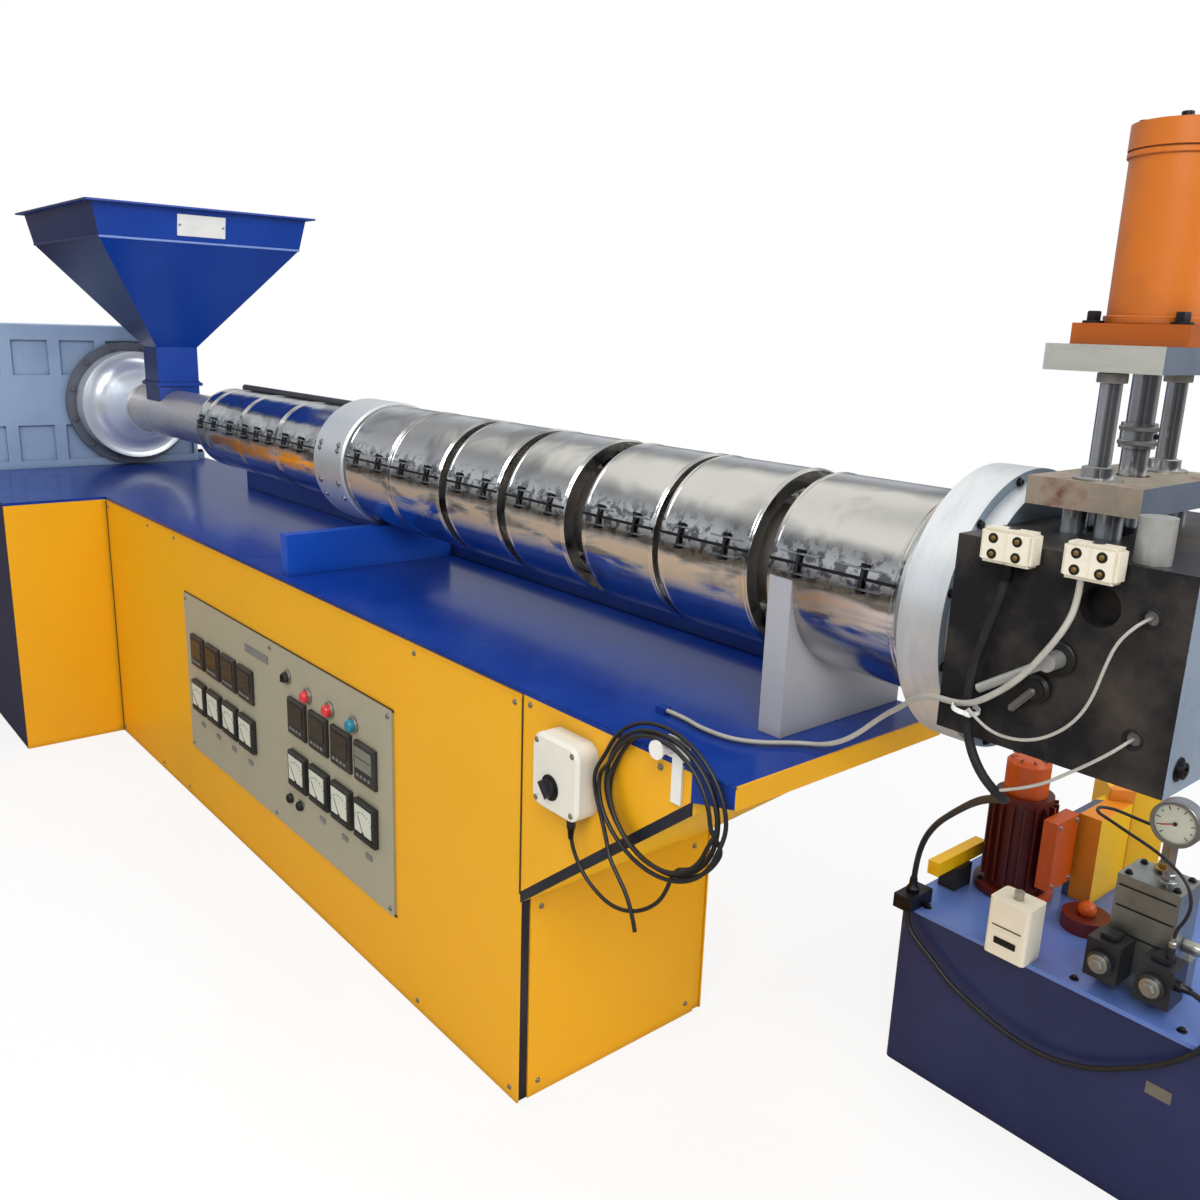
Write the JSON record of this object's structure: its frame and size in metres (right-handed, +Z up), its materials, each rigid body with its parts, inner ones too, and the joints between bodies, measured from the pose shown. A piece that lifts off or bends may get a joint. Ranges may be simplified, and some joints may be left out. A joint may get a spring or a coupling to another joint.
{
  "type": "plastic extruder",
  "caption": "Single-screw plastic extruder: hopper, gearbox, heated barrel on a cabinet base, and a die head with a ram gate and its oil pump unit.",
  "frame": {"origin": "on the floor, in the middle of the long cabinet's foot", "axes": "+X along the barrel towards the die head, +Y to the back, +Z up"},
  "size_m": [5.026, 1.6198, 1.844],
  "materials": {
    "band_chrome": "polished",
    "barrel_steel": "turned",
    "box_white": "satin",
    "box_yellow": "satin",
    "ceramic_cream": "satin",
    "collar_metal": "cast",
    "column_chrome": "polished",
    "conduit_dark": "satin",
    "cylinder_orange": "gloss",
    "deck_blue": "gloss",
    "die_steel": "oxidised",
    "flange_metal": "turned",
    "frame_dark": "satin",
    "gauge_steel": "satin",
    "gear_grey": "satin",
    "hopper_blue": "gloss",
    "hose_black": "satin",
    "instrument_black": "satin",
    "lamp_red": "gloss",
    "lead_light": "satin",
    "meter_white": "gloss",
    "motor_orange": "satin",
    "motor_red": "satin",
    "panel_beige": "satin",
    "panel_yellow": "gloss",
    "plate_rust": "rusty",
    "ring_grey": "satin",
    "screw_steel": "turned",
    "solenoid_black": "satin",
    "stand_grey": "satin",
    "tank_blue": "gloss",
    "turned_metal": "turned",
    "valve_metal": "satin",
    "wide_navy": "satin"
  },
  "bodies": {
    "machine": {"ammeters": "meter_white", "back_panels": "panel_yellow", "barrel_collar": "collar_metal", "barrel_saddle": "stand_grey", "barrel_tube": "barrel_steel", "bearing_bell": "turned_metal", "bearing_ring": "ring_grey", "coil_hook": "box_white", "collar_stand": "deck_blue", "control_panel": "panel_beige", "deck_leads": "lead_light", "deck_plate": "deck_blue", "die_block": "die_steel", "end_panel": "panel_yellow", "extruder_screw": "screw_steel", "feed_heater_bands": "band_chrome", "feed_throat": "hopper_blue", "filler_cap": "motor_orange", "front_panel": "panel_yellow", "gauge_hose": "hose_black", "gearbox_housing": "gear_grey", "head_cable": "hose_black", "head_flange": "flange_metal", "hopper_body": "hopper_blue", "hopper_neck": "hopper_blue", "hydraulic_cylinder": "cylinder_orange", "hydraulic_hose": "hose_black", "indicator_lamps": "lamp_red", "long_frame": "frame_dark", "main_heater_bands": "band_chrome", "motor_cowl": "motor_orange", "oil_cooler": "box_yellow", "oil_tank": "tank_blue", "overhang_flange": "frame_dark", "overhang_panels": "panel_yellow", "press_columns": "column_chrome", "press_plates": "plate_rust", "pressure_gauge": "gauge_steel", "pump_motor": "motor_red", "sensor_fitting": "gauge_steel", "sensor_lead_lower": "hose_black", "sensor_lead_upper": "lead_light", "side_rail": "box_yellow", "solenoid_valve": "solenoid_black", "starter_box": "box_white", "switch_box": "box_white", "switch_cable_coil": "hose_black", "switch_cable_loop": "hose_black", "switch_cable_tail": "hose_black", "switch_knob": "solenoid_black", "tank_cable": "hose_black", "temperature_controllers": "instrument_black", "terminal_blocks": "ceramic_cream", "valve_block": "valve_metal", "wide_frame": "frame_dark", "wide_front_panel": "wide_navy", "wide_side_panels": "panel_yellow", "wire_conduit": "conduit_dark"},
    "gate": {"gate_slide": "column_chrome", "piston_rod": "column_chrome"}
  },
  "joints": [
    {"name": "gate_slide", "type": "slide", "parent": "machine", "child": "gate", "axis": [0, 0, 1], "range_m": [0, 0.055]}
  ]
}
